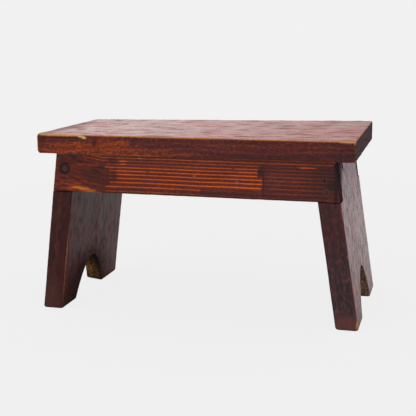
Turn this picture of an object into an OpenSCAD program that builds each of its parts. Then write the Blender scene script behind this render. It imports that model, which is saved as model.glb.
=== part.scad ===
// Low bench stool made of five solid boards. A seat board lies on two end boards that
// lean outwards, and a front and a rear rail are let into the end boards' upper edges.
// Nails hold the joints, and a screw under a wooden plug holds the front left one.
// The origin is on the floor under the middle of the seat: +X runs along the seat to
// the right, +Y to the back and +Z up. Lengths are in millimetres, angles in degrees.

/* [Seat board] */
// Length of the seat board
seat_l = 460; // [400:1:560]
// Width of the seat board, front to back
seat_w = 220; // [180:1:260]
// Thickness of the seat board
seat_t = 28.5; // [18:0.5:34]
// Height of the seat's upper face above the floor
seat_h = 264.5; // [220:0.5:340]
// Width of the eased edge round the upper face and down the corners
seat_ease = 1.5; // [0.5:0.1:4]
// Overhang of the seat past the end boards, at each end
end_overhang = 27; // [10:0.5:50]
// Overhang of the seat past the rails, at front and back
rail_overhang = 3.5; // [0:0.5:12]

/* [End boards] */
// Thickness of the end boards, square to their faces
end_t = 31.5; // [20:0.5:38]
// Lean of the end boards out of plumb
lean = 8.3; // [0:0.1:12]
// Width of the foot arch at the floor
arch_w = 108; // [60:1:120]
// Height of the foot arch, measured up the outer face
arch_h = 65; // [30:1:90]
// Distance of the left arch's centre behind the board's centre, at the outer face
left_arch_back = 2; // [-10:0.5:10]
// Distance of the right arch's centre behind the board's centre, at the outer face
right_arch_back = 0; // [-10:0.5:10]
// Distance by which the left arch slants forward on its way to the inner face
left_arch_slant = 8.5; // [0:0.5:12]

/* [Rails] */
// Height of the rails
rail_h = 55.5; // [40:0.5:70]
// Thickness of the rails
rail_t = 22; // [16:0.5:28]

/* [Nails] */
// Length of a nail, head and point included
nail_l = 50; // [42:1:60]
// Diameter of a nail's shank
nail_d = 3; // [2:0.1:4]
// Diameter of a nail's head
nail_head_d = 4.6; // [4.2:0.1:7]
// Height of a nail's head
nail_head_h = 2; // [1:0.1:3]
// Depth of a nail's head below the wood
nail_set = 1; // [0.2:0.1:2]
// Distance of the rail nails inwards from the middle of the end board's edge
rail_nail_in = 1.5; // [0:0.5:6]

/* [Plugged screw] */
// Diameter of the wooden plug
plug_d = 14; // [11:0.5:18]
// Thickness of the wooden plug
plug_l = 7; // [4:0.5:9]
// Depth of the plug's face below the rail's face
plug_set = 0.6; // [0.1:0.1:2]
// Width of the plug's eased edge
plug_ease = 1; // [0.2:0.1:1.5]
// Length of the screw
screw_l = 45; // [35:1:50]
// Diameter of the screw's shank
screw_d = 5; // [4:0.1:6]
// Diameter of the screw's countersunk head
screw_head_d = 9.6; // [8:0.1:10.8]
// Height of the screw's countersunk head
screw_head_h = 3; // [2:0.1:4]
// Width of the slot across the screw's head
slot_w = 1.2; // [0.8:0.1:1.6]
// Depth of the slot across the screw's head
slot_depth = 1.4; // [0.8:0.1:1.8]

/* [Hidden] */
$fn = 64;

seat_colour = [0.48, 0.27, 0.24];
end_colour = [0.30, 0.17, 0.15];
rail_colour = [0.42, 0.20, 0.13];
plug_colour = [0.24, 0.16, 0.13];
steel_colour = [0.25, 0.23, 0.22];

// Room left round a driven nail or screw
drive_gap = 0.05;
// Room left round the plug, where the wood has shrunk
plug_gap = 0.25;
// Length by which a cutting shape runs past the face that it cuts
overrun = 5;

// Level of the seat's underside, which is the top of the rails and end boards
under_z = seat_h - seat_t;
// Level of the rails' lower edges
rail_z = under_z - rail_h;
// Distance from the middle to the end boards' outer faces, under the seat and at the floor
end_top_x = seat_l / 2 - end_overhang;
end_foot_x = end_top_x + under_z * tan(lean);
// Thickness of the end boards along the length, and their width
end_run = end_t / cos(lean);
end_w = seat_w - 2 * rail_overhang;

// Length of a nail's point, and of the screw's
nail_point_l = 2 * nail_d;
screw_point_l = 2 * screw_d;
// Places of the nails from the middle of the seat, as shares of half the space that they lie in
end_nail_share = 0.62;
rail_nail_shares = [-0.66, 0.04, 0.7];
// Drops of the rails' fasteners below the seat, as shares of the rail's height
front_nail_shares = [0.48, 0.765];
rear_nail_shares = [0.3, 0.72];
plug_drop_share = 0.37;

// Place of the nails that go down into the end boards
end_nail_y = end_nail_share * (end_w / 2 - nail_set - nail_l);
end_nail_x = end_mid_x(under_z - (nail_l + nail_set - seat_t) / 2);
// Half the clear length between the end boards, under the seat
clear_x = end_top_x - end_run;
plug_z = under_z - plug_drop_share * rail_h;

// Distance from the middle to the middle of an end board's thickness, at height z
function end_mid_x(z) = end_top_x - end_run / 2 + (under_z - z) * tan(lean);

// Half outline of a nail set below a face at height 0, or of its hole when it has room round it
function nail_outline(room = 0, head_top = -nail_set) = [
    [0, -nail_set - nail_l - room],
    [nail_d / 2 + room, -nail_set - nail_l + nail_point_l - room],
    [nail_d / 2 + room, -nail_set - nail_head_h - room],
    [nail_head_d / 2 + room, -nail_set - nail_head_h - room],
    [nail_head_d / 2 + room, head_top],
    [0, head_top]
];

// Half outline of the countersunk screw with its head's face at height 0
function screw_outline(room = 0) = [
    [0, -screw_l - room],
    [screw_d / 2 + room, -screw_l + screw_point_l - room],
    [screw_d / 2 + room, -screw_head_h - room],
    [screw_head_d / 2 + room, 0],
    [0, 0]
];

// Outline of a board's cross-section with its two upper corners eased
function eased_outline(w, t, ease) = [
    [-w / 2, 0], [w / 2, 0], [w / 2, t - ease], [w / 2 - ease, t],
    [ease - w / 2, t], [-w / 2, t - ease]
];

// Outline of a rectangle with its four corners eased
function corner_outline(l, w, ease) = [
    [ease - l / 2, -w / 2], [l / 2 - ease, -w / 2], [l / 2, ease - w / 2],
    [l / 2, w / 2 - ease], [l / 2 - ease, w / 2], [ease - l / 2, w / 2],
    [-l / 2, w / 2 - ease], [-l / 2, ease - w / 2]
];

// Outline of the foot arch, a parabola that runs on below the floor
function arch_outline(width, steps = 20, reach = sqrt(1 + overrun / arch_h)) = [
    for (i = [-steps:steps]) let (u = reach * i / steps) [width / 2 * u, arch_h * (1 - u * u)]
];

// Draws one nail that is driven along -Z into a face at height 0
module nail() {
    rotate_extrude() polygon(nail_outline());
}

// The space that a driven nail takes up in the boards
module nail_hole() {
    rotate_extrude() polygon(nail_outline(drive_gap, overrun));
}

// Places its children on the front face (side -1) or the rear face (side 1) of the rails,
// with -Z pointing into the wood
module on_rail_face(side, x, z) {
    translate([x, side * end_w / 2, z]) rotate([-side * 90, 0, 0]) children();
}

// Places its children at the nails of one rail joint
module at_rail_nails(end, side, drop_shares) {
    for (share = drop_shares) {
        z = under_z - share * rail_h;
        on_rail_face(side, end * (end_mid_x(z) - rail_nail_in), z) children();
    }
}

// Places its children at the nails that go through the seat into one end board
module at_end_nails(end) {
    for (y = [-end_nail_y, end_nail_y]) translate([end * end_nail_x, y, seat_h]) children();
}

// Places its children at the nails that go through the seat into one rail
module at_seat_rail_nails(side) {
    for (share = rail_nail_shares)
        translate([share * clear_x, side * (end_w - rail_t) / 2, seat_h]) children();
}

// Places its children at the plugged screw, on the rail's front face
module at_plug() {
    on_rail_face(-1, -end_mid_x(plug_z), plug_z) children();
}

// The stepped hole of the plug and the screw
module plugged_hole() {
    depth = plug_set + plug_l;
    translate([0, 0, -depth]) {
        cylinder(h = depth + overrun, d = plug_d + 2 * plug_gap);
        rotate_extrude() polygon(screw_outline(drive_gap));
    }
}

// The right end board before its cuts: its leaning outline in X and Z, run along Y
module end_blank() {
    rotate([90, 0, 0]) linear_extrude(end_w, center = true) polygon([
        [end_foot_x, 0], [end_top_x, under_z],
        [end_top_x - end_run, under_z], [end_foot_x - end_run, 0]
    ]);
}

// The notch for one rail in the upper edge of an end board
module rail_notch(side) {
    translate([0, side * (end_w - rail_t + overrun) / 2, rail_z + (rail_h + overrun) / 2])
        cube([2 * end_foot_x + overrun, rail_t + overrun, rail_h + overrun], center = true);
}

// The arch cut, which goes through square to the board's face unless it slants forward
module arch_cut(back, slant) {
    turn = atan(slant / end_t);
    translate([end_foot_x, back, 0]) rotate([0, -lean, 0]) rotate([90, 0, 90 + turn])
        translate([0, 0, -2 * end_t]) linear_extrude(3 * end_t)
            polygon(arch_outline(arch_w * cos(turn)));
}

// One end board with its notches, arch and nail holes: end is 1 at the right, -1 at the left
module end_board(end) {
    color(end_colour) difference() {
        mirror([end < 0 ? 1 : 0, 0, 0]) difference() {
            end_blank();
            rail_notch(-1);
            rail_notch(1);
            arch_cut(end < 0 ? left_arch_back : right_arch_back,
                end < 0 ? left_arch_slant : 0);
        }
        at_end_nails(end) nail_hole();
        at_rail_nails(end, 1, rear_nail_shares) nail_hole();
        if (end > 0) at_rail_nails(end, -1, front_nail_shares) nail_hole();
        if (end < 0) at_plug() plugged_hole();
    }
}

// A rail before its holes, with ends that follow the lean of the end boards
module rail_blank(side) {
    foot_x = end_top_x + rail_h * tan(lean);
    translate([0, side * (end_w - rail_t) / 2, 0]) rotate([90, 0, 0])
        linear_extrude(rail_t, center = true) polygon([
            [-foot_x, rail_z], [foot_x, rail_z], [end_top_x, under_z], [-end_top_x, under_z]
        ]);
}

module seat_board() {
    color(seat_colour) difference() {
        translate([0, 0, under_z]) intersection() {
            rotate([90, 0, 0]) linear_extrude(seat_w, center = true)
                polygon(eased_outline(seat_l, seat_t, seat_ease));
            rotate([90, 0, 90]) linear_extrude(seat_l, center = true)
                polygon(eased_outline(seat_w, seat_t, seat_ease));
            linear_extrude(seat_t) polygon(corner_outline(seat_l, seat_w, seat_ease));
        }
        for (end = [-1, 1]) at_end_nails(end) nail_hole();
        for (side = [-1, 1]) at_seat_rail_nails(side) nail_hole();
    }
}

module left_end_board() {
    end_board(-1);
}

module right_end_board() {
    end_board(1);
}

module front_rail() {
    color(rail_colour) difference() {
        rail_blank(-1);
        at_plug() plugged_hole();
        at_rail_nails(1, -1, front_nail_shares) nail_hole();
        at_seat_rail_nails(-1) nail_hole();
    }
}

module rear_rail() {
    color(rail_colour) difference() {
        rail_blank(1);
        for (end = [-1, 1]) at_rail_nails(end, 1, rear_nail_shares) nail_hole();
        at_seat_rail_nails(1) nail_hole();
    }
}

module front_left_screw() {
    color(steel_colour) at_plug() translate([0, 0, -plug_set - plug_l]) difference() {
        rotate_extrude() polygon(screw_outline());
        translate([0, 0, (overrun - slot_depth) / 2])
            cube([screw_head_d + overrun, slot_w, slot_depth + overrun], center = true);
    }
}

module front_left_plug() {
    color(plug_colour) at_plug() translate([0, 0, -plug_set]) rotate_extrude() polygon([
        [0, -plug_l], [plug_d / 2, -plug_l], [plug_d / 2, -plug_ease],
        [plug_d / 2 - plug_ease, 0], [0, 0]
    ]);
}

module front_right_nails() {
    color(steel_colour) at_rail_nails(1, -1, front_nail_shares) nail();
}

module rear_left_nails() {
    color(steel_colour) at_rail_nails(-1, 1, rear_nail_shares) nail();
}

module rear_right_nails() {
    color(steel_colour) at_rail_nails(1, 1, rear_nail_shares) nail();
}

module seat_left_nails() {
    color(steel_colour) at_end_nails(-1) nail();
}

module seat_right_nails() {
    color(steel_colour) at_end_nails(1) nail();
}

module seat_front_nails() {
    color(steel_colour) at_seat_rail_nails(-1) nail();
}

module seat_rear_nails() {
    color(steel_colour) at_seat_rail_nails(1) nail();
}

seat_board();
left_end_board();
right_end_board();
front_rail();
rear_rail();
front_left_screw();
front_left_plug();
front_right_nails();
rear_left_nails();
rear_right_nails();
seat_left_nails();
seat_right_nails();
seat_front_nails();
seat_rear_nails();
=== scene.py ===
"""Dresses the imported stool: five worn boards in dark red stain, a wooden plug, and nails.

The boards and the plug are modelled again over their solids, with rounded and worn arrises.
The nails and the screw keep their solids. Everything is in the solids' own frame. Sizes are
in metres, but places and sizes of patches, marks, flecks, knots and chips, and of the rails'
nail and plug holes, are in millimetres.
"""

import logging
import math
from collections.abc import Callable, Iterable
from dataclasses import dataclass, replace
from enum import Enum

import bmesh
import bpy
from bmesh.types import BMEdge, BMFace, BMVert
from bpy.types import Material, Node, NodeSocket, World
from mathutils import Matrix, Vector


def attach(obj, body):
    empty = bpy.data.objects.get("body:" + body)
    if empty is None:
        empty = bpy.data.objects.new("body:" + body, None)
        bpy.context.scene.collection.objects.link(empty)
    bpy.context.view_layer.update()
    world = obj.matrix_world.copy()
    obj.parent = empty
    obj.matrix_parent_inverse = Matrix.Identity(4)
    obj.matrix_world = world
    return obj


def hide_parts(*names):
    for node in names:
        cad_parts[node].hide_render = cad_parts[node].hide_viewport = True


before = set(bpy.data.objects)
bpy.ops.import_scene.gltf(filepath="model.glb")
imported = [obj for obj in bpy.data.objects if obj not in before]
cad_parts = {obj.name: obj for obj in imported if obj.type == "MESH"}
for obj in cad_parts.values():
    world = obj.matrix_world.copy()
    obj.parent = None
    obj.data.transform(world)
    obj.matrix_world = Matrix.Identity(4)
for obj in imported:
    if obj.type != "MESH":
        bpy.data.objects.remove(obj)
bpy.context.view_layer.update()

MM = 0.001
BODY = "root"
SHARP = math.radians(35)
SMOOTH = math.radians(32)
FACETS = 3
FINE_FACETS = 4

# How far a normal has to go along a direction, by which the faces of a board are told apart.
HALFWAY = 0.5
MOSTLY = 0.7
LEVEL = 0.8
SQUARE = 0.9
END_ON = 0.93

Pair = tuple[float, float]
Point = tuple[float, float, float]
Shade = tuple[int, int, int]
Tone = tuple[float, float, float, float]
Value = NodeSocket | float | tuple
Weight = Callable[[Vector], float]

log = logging.getLogger("stool")


def mm(*sizes: float) -> tuple[float, ...]:
    """Turns millimetres into metres."""
    return tuple(size * MM for size in sizes)


def per_mm(*sizes: float) -> tuple[float, ...]:
    """Gives the scales that make sizes in millimetres one unit long."""
    return tuple(1 / (size * MM) for size in sizes)


def tone(shade: Shade) -> Tone:
    """Gives the linear colour of a screen colour, whose parts go from 0 to 255."""
    shares = [part / 255 for part in shade]
    linear = [s / 12.92 if s <= 0.04045 else ((s + 0.055) / 1.055) ** 2.4 for s in shares]
    return (*linear, 1.0)


def grey(level: float) -> Tone:
    """Gives a linear grey."""
    return (level, level, level, 1.0)


def beyond(edge: BMEdge, axis: int, sign: float, place: float) -> bool:
    """Says whether an edge lies wholly past a place along an axis."""
    return all(sign * vertex.co[axis] > place for vertex in edge.verts)


def upright(edge: BMEdge) -> bool:
    """Says whether an edge stands plumb."""
    first, second = (vertex.co for vertex in edge.verts)
    return abs((second - first).normalized().z) > SQUARE


def past_end(face: BMFace, past: float) -> bool:
    """Says whether a face lies past a distance from the middle, at either end."""
    return abs(face.calc_center_median().x) > past


def spread(start: float, stop: float, count: int) -> list[float]:
    """Gives places at even steps, without the two ends."""
    return [start + (stop - start) * (i + 1) / (count + 1) for i in range(count)]


class Element(Enum):
    """What is selected in edit mode."""

    VERTEX = "VERT"
    EDGE = "EDGE"
    FACE = "FACE"


class End(Enum):
    """An end of the stool, by its sign along x."""

    LEFT = -1
    RIGHT = 1


class Side(Enum):
    """A side of the stool, by its sign along y."""

    FRONT = -1
    REAR = 1


@dataclass(frozen=True)
class Plan:
    """The stool's sizes, as its solids have them, and its twist."""

    seat_half: float = 230 * MM
    seat_half_width: float = 110 * MM
    seat_top: float = 264.5 * MM
    under: float = 236 * MM
    half_width: float = 106.5 * MM
    end_thickness: float = 31.5 * MM
    end_top: float = 203 * MM
    lean: float = math.radians(8.3)
    rail_low: float = 180.5 * MM
    rail_thickness: float = 22 * MM
    arch_half: float = 54 * MM
    arch_height: float = 65 * MM
    wind: float = 1.5 * MM
    wind_low: float = 90 * MM
    foot: float = 20 * MM

    @property
    def slope(self) -> float:
        """How far the end boards go out for each metre down."""
        return math.tan(self.lean)

    @property
    def end_run(self) -> float:
        """An end board's thickness along the floor."""
        return self.end_thickness / math.cos(self.lean)

    @property
    def twist(self) -> float:
        """How far the twist lifts a place, for each metre along and across."""
        return self.wind / (self.seat_half * self.seat_half_width)

    def reach(self, height: float) -> float:
        """The outer face's distance from the middle, at a height."""
        return self.end_top + (self.under - height) * self.slope

    def lift(self, place: Vector) -> float:
        """How far the twist lifts a place: by opposite corners, and not at the feet."""
        rise = min(1.0, max(0.0, place.z / self.wind_low - 1))
        return self.wind * rise * (place.x / self.seat_half) * (place.y / self.seat_half_width)

    def above(self, place: Vector) -> float:
        """Gives 0 at the floor and 1 well above it, so that no worn patch sinks into the floor."""
        return min(1.0, max(0.0, place.z / self.foot))


@dataclass(frozen=True)
class BoardFrame:
    """A board's own directions: along its grain, across its width, and out through its face.

    Half is its half size each way. Splay is how much its ends go in for each metre across.
    """

    middle: Vector
    along: Vector
    across: Vector
    out: Vector
    half: Point
    splay: float = 0.0

    def matrix(self) -> Matrix:
        """Turns stool directions into board directions."""
        return Matrix((self.along, self.across, self.out))


@dataclass(frozen=True)
class Chip:
    """A bite out of a board: a ball with three radii, turned about the three axes."""

    middle: Point
    radii: Point
    turn: Point = (0, 0, 0)


@dataclass(frozen=True)
class Press:
    """A cloudy pattern that dents a face: its depth, its grain, and the level that stays."""

    depth: float
    grain: float
    level: float


@dataclass(frozen=True)
class Coat:
    """One finish, and which faces wear it."""

    material: Material
    where: Callable[[BMFace], bool] = lambda face: True


class Workpiece:
    """A mesh shaped with Blender's own tools, as at a bench."""

    def __init__(self, name: str) -> None:
        """Takes the primitive that was just added, and puts its place in its mesh."""
        self.body: bpy.types.Object = bpy.context.active_object
        self.body.name = name
        self.body.data.name = name
        bpy.ops.object.transform_apply(location=True, rotation=True, scale=True)

    @staticmethod
    def let_go() -> None:
        """Leaves edit mode with nothing selected."""
        if bpy.context.object and bpy.context.object.mode != "OBJECT":
            bpy.ops.object.mode_set(mode="OBJECT")
        bpy.ops.object.select_all(action="DESELECT")

    @classmethod
    def block(cls, name: str, low: Iterable[float], high: Iterable[float]) -> "Workpiece":
        """Saws a block between its lowest corner and its highest."""
        low, high = Vector(low), Vector(high)
        cls.let_go()
        bpy.ops.mesh.primitive_cube_add(size=1, location=(low + high) / 2, scale=high - low)
        return cls(name)

    @classmethod
    def rod(cls, name: str, start: Vector, way: Vector, radius: float, sides: int) -> "Workpiece":
        """Turns a round rod.

        Args:
            name: The piece's name.
            start: The middle of its first end.
            way: From its first end to its other end.
            radius: Its radius.
            sides: How many sides it has.

        Returns:
            The rod.
        """
        cls.let_go()
        turn = way.to_track_quat("Z", "Y").to_euler()
        bpy.ops.mesh.primitive_cylinder_add(
            vertices=sides, radius=radius, depth=way.length, location=start + way / 2, rotation=turn
        )
        return cls(name)

    def hold(self, mode: str = "OBJECT") -> None:
        """Makes this the one selected piece, in a mode."""
        self.let_go()
        self.body.select_set(True)
        bpy.context.view_layer.objects.active = self.body
        bpy.ops.object.mode_set(mode=mode)

    def choose(self, element: Element, test: Callable[..., bool] = lambda item: True) -> None:
        """Goes into edit mode and selects what passes a test.

        Args:
            element: What to select.
            test: Says of one vertex, edge or face whether it is wanted.
        """
        self.hold("EDIT")
        bpy.ops.mesh.select_mode(type=element.value)
        bpy.ops.mesh.select_all(action="DESELECT")
        cage = bmesh.from_edit_mesh(self.body.data)
        parts = {Element.VERTEX: cage.verts, Element.EDGE: cage.edges, Element.FACE: cage.faces}
        for item in parts[element]:
            if test(item):
                item.select_set(True)
        cage.select_flush_mode()
        bmesh.update_edit_mesh(self.body.data)

    def slide(self, test: Callable[[BMVert], bool], way: Iterable[float]) -> None:
        """Moves the vertices that pass a test."""
        self.choose(Element.VERTEX, test)
        bpy.ops.transform.translate(value=Vector(way))
        self.let_go()

    def cut(self, cutter: "Workpiece") -> None:
        """Takes another piece out of this one, and throws it away."""
        self.hold()
        cutting = self.body.modifiers.new("cutting", "BOOLEAN")
        cutting.operation = "DIFFERENCE"
        cutting.solver = "EXACT"
        cutting.object = cutter.body
        bpy.ops.object.modifier_apply(modifier=cutting.name)
        bpy.data.objects.remove(cutter.body, do_unlink=True)

    def chip(self, *chips: Chip) -> None:
        """Bites chips out of this piece."""
        for chip in chips:
            self.let_go()
            bpy.ops.mesh.primitive_ico_sphere_add(
                subdivisions=2, radius=1, location=mm(*chip.middle), rotation=chip.turn,
                scale=mm(*chip.radii),
            )
            self.cut(Workpiece("chip"))

    def ease(self, width: float, steps: int, test: Callable[[BMEdge], bool]) -> None:
        """Rounds the sharp arrises that pass a test.

        Args:
            width: How far the rounding reaches onto each face.
            steps: How many facets it has.
            test: Says whether a sharp edge is rounded.
        """
        self.choose(Element.EDGE, lambda edge: edge.calc_face_angle(0) > SHARP and test(edge))
        bpy.ops.mesh.bevel(offset=width, segments=steps, affect="EDGES", clamp_overlap=True)
        self.let_go()

    def clip(self, width: float) -> None:
        """Blunts every corner, by a width along each edge."""
        self.choose(Element.VERTEX)
        bpy.ops.mesh.bevel(offset=width, affect="VERTICES", clamp_overlap=True)
        self.let_go()

    def twist(self, lift: Weight) -> None:
        """Moves each place of the mesh up or down, as old boards go out of flat."""
        self.hold()
        for vertex in self.body.data.vertices:
            vertex.co.z += lift(vertex.co)

    def rule(self, direction: Iterable[float], places: Iterable[float]) -> None:
        """Cuts the mesh into strips, so that it can be worn and bent.

        Args:
            direction: The direction that the cuts are square to.
            places: How far along it each cut is.
        """
        square = Vector(direction).normalized()
        self.hold("EDIT")
        for place in places:
            bpy.ops.mesh.select_all(action="SELECT")
            bpy.ops.mesh.bisect(plane_co=square * place, plane_no=square)
        self.let_go()

    def press(self, press: Press, weigh: Weight) -> None:
        """Pushes the surface in and out by a cloudy pattern, as wear and handling do.

        Args:
            press: The pattern.
            weigh: Gives each place's share of its depth.
        """
        self.hold()
        group = self.body.vertex_groups.new(name="pressed")
        for vertex in self.body.data.vertices:
            share = weigh(vertex.co)
            if share > 0:
                group.add([vertex.index], share, "REPLACE")
        clouds = bpy.data.textures.new("clouds", "CLOUDS")
        clouds.noise_scale = press.grain
        pressing = self.body.modifiers.new("pressing", "DISPLACE")
        pressing.texture = clouds
        pressing.texture_coords = "LOCAL"
        pressing.strength = -press.depth
        pressing.mid_level = press.level
        pressing.vertex_group = group.name
        bpy.ops.object.modifier_apply(modifier=pressing.name)
        self.body.vertex_groups.clear()

    def finish(self, coats: Iterable[Coat], slot: str, *nodes: str) -> None:
        """Cleans and smooths the mesh, dresses it, and puts it in its solid's place.

        Args:
            coats: Its finishes. The first covers it all, and each later one covers its own faces.
            slot: Not used.
            nodes: The solids that it stands for.
        """
        self.choose(Element.FACE)
        bpy.ops.mesh.remove_doubles(threshold=1e-6)
        bpy.ops.mesh.normals_make_consistent(inside=False)
        self.hold()
        bpy.ops.object.shade_smooth_by_angle(angle=SMOOTH)
        self.body.data.materials.clear()
        for index, coat in enumerate(coats):
            self.body.data.materials.append(coat.material)
            self.choose(Element.FACE, coat.where)
            self.body.active_material_index = index
            bpy.ops.object.material_slot_assign()
        self.let_go()
        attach(self.body, BODY)
        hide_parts(*nodes)
        triangles = sum(len(face.vertices) - 2 for face in self.body.data.polygons)
        log.info("%s: %d triangles, for %s", self.body.name, triangles, ", ".join(nodes))


@dataclass(frozen=True)
class Cloud:
    """Cloudy noise: its scale, in all directions or in each, its detail and its roughness."""

    scale: float | Point
    detail: float = 3.0
    rough: float = 0.6


class Recipe:
    """Writes the nodes of a material or a world, a line for each step."""

    def __init__(self, owner: Material | World) -> None:
        """Takes over a material or a world, and empties it."""
        self.owner = owner
        owner.use_nodes = True
        self.tree = owner.node_tree
        self.tree.nodes.clear()

    @classmethod
    def named(cls, name: str) -> "Recipe":
        """Starts an empty material."""
        return cls(bpy.data.materials.new(name))

    def node(self, kind: str, feeds: dict | None = None, **settings: object) -> Node:
        """Adds a node.

        Args:
            kind: Its type, without the leading ShaderNode.
            feeds: What goes into its inputs, by name or number.
            settings: Its own settings.

        Returns:
            The node.
        """
        made = self.tree.nodes.new("ShaderNode" + kind)
        for name, value in settings.items():
            setattr(made, name, value)
        for name, value in (feeds or {}).items():
            if isinstance(value, NodeSocket):
                self.tree.links.new(value, made.inputs[name])
            else:
                made.inputs[name].default_value = value
        return made

    def place(self) -> NodeSocket:
        """Gives each place in the stool's own metres."""
        return self.node("TexCoord").outputs["Object"]

    def parts(self, vector: Value) -> bpy.types.NodeOutputs:
        """Splits a vector into its three numbers."""
        return self.node("SeparateXYZ", {0: vector}).outputs

    def math(self, operation: str, *values: Value, clamp: bool = False) -> NodeSocket:
        """Does one sum on numbers."""
        feeds = dict(enumerate(values))
        return self.node("Math", feeds, operation=operation, use_clamp=clamp).outputs[0]

    def vector(self, operation: str, *values: Value) -> NodeSocket:
        """Does one sum on vectors, and gives a number for a length."""
        made = self.node("VectorMath", dict(enumerate(values)), operation=operation)
        return made.outputs[1 if operation == "LENGTH" else 0]

    def scaled(self, colour: Value, amount: Value) -> NodeSocket:
        """Makes a colour lighter or darker."""
        return self.node("VectorMath", {0: colour, 3: amount}, operation="SCALE").outputs[0]

    def step(self, value: Value, low: float, high: float, to: Pair = (0, 1)) -> NodeSocket:
        """Goes smoothly from one number to another while a value goes from low to high."""
        feeds = {"Value": value, "From Min": low, "From Max": high, "To Min": to[0], "To Max": to[1]}
        return self.node("MapRange", feeds, interpolation_type="SMOOTHSTEP").outputs[0]

    def mix(self, share: Value, *colours: Value) -> NodeSocket:
        """Mixes two colours. A colour of three parts is a screen colour."""
        first, second = (
            tone(colour) if isinstance(colour, tuple) and len(colour) == 3 else colour
            for colour in colours
        )
        return self.node("Mix", {0: share, 6: first, 7: second}, data_type="RGBA").outputs[2]

    def noise(self, where: Value, cloud: Cloud) -> NodeSocket:
        """Gives cloudy noise, about 0.5 in the middle."""
        scale = cloud.scale
        if isinstance(scale, tuple):
            where, scale = self.vector("MULTIPLY", where, scale), 1
        feeds = {"Vector": where, "Scale": scale, "Detail": cloud.detail, "Roughness": cloud.rough}
        return self.node("TexNoise", feeds).outputs[0]

    def bump(self, height: Value, strength: float, depth: float) -> NodeSocket:
        """Raises the surface, by a depth in millimetres."""
        feeds = {"Strength": strength, "Distance": depth * MM, "Height": height}
        return self.node("Bump", feeds).outputs[0]

    def surface(self, colour: Value, rough: Value, normal: Value, **others: Value) -> Material:
        """Ends the material with a shader.

        Args:
            colour: Its colour.
            rough: Its roughness.
            normal: Its bumps.
            others: The shader's other inputs, by name.

        Returns:
            The material.
        """
        feeds = {"Base Color": colour, "Roughness": rough, **others, "Normal": normal}
        return self.output(self.node("BsdfPrincipled", feeds))

    def output(self, shader: Node) -> Material:
        """Ends the material with its last node."""
        self.node("OutputMaterial", {"Surface": shader.outputs[0]})
        return self.owner


@dataclass(frozen=True)
class Patch:
    """A soft spot with a ragged edge.

    Torn is how ragged its edge is. A square one has straight sides, and its soft and torn are
    in millimetres.
    """

    middle: Point
    reach: Point
    strength: float = 1.0
    soft: float = 0.45
    torn: float = 0.2
    square: bool = False


@dataclass(frozen=True)
class Mark:
    """A patch of another colour, such as a stain, a chip or a fleck of paint.

    Matt is how much rougher it is than the polish round it.
    """

    middle: Point
    reach: Point
    shade: Shade
    strength: float = 0.5
    soft: float = 0.5
    torn: float = 0.3
    square: bool = False
    matt: float = 0.0


@dataclass(frozen=True)
class Fleck:
    """Short streaks of another colour across the grain, inside a patch.

    The turn is their slope down to the right, in degrees, and the size is their length and
    their width.
    """

    patch: Patch
    turn: float
    size: Pair
    shade: Shade


@dataclass(frozen=True)
class Knot:
    """A place that the grain flows round."""

    middle: Point
    reach: Point
    push: float


@dataclass(frozen=True)
class Figure:
    """How a board was cut from its tree, and how its grain lies.

    The heart is the tree's middle, across and out from the board's middle, and the pitch is
    one year's growth, in millimetres. The line is the share of a year that shows bright.
    Sway is how far the grain wanders, in millimetres. Dashes is the strength of the short
    flecks along the grain, dash their size and stretch their length, and clean is the share
    of them that is missing where the stain is rubbed. Faint is how much the rings show where
    the stain is whole. Skew is how far the grain runs down for each unit along, and a bend is
    where it starts to run down more steeply, and how steeply.
    """

    heart: Pair
    pitch: float
    turn: float
    line: float
    show: float
    sway: float
    dashes: float
    dash: float
    knots: tuple[Knot, ...] = ()
    stretch: float = 1.0
    bend: Pair = (-1000, 0)
    skew: float = 0.0
    faint: float = 1.0
    clean: float = 0.0


@dataclass(frozen=True)
class Stain:
    """A face's colours: whole and rubbed thin, each between the rings and on them."""

    deep: Shade
    ring: Shade
    rubbed: Shade
    bright: Shade
    worn: Shade = (170, 84, 36)
    bare: Shade = (214, 160, 92)


@dataclass(frozen=True)
class Polish:
    """How a face shines: its roughness, its refractive index and how uneven it is.

    Dull is how much rougher it is in worn streaks along the grain, whose length and width are
    in millimetres.
    """

    rough: float = 0.45
    index: float = 1.25
    ripple: float = 0.4
    ripple_size: float = 1.0
    uneven: float = 0.12
    dull: float = 0.0
    streak: Pair = (30.0, 12.0)


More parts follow.
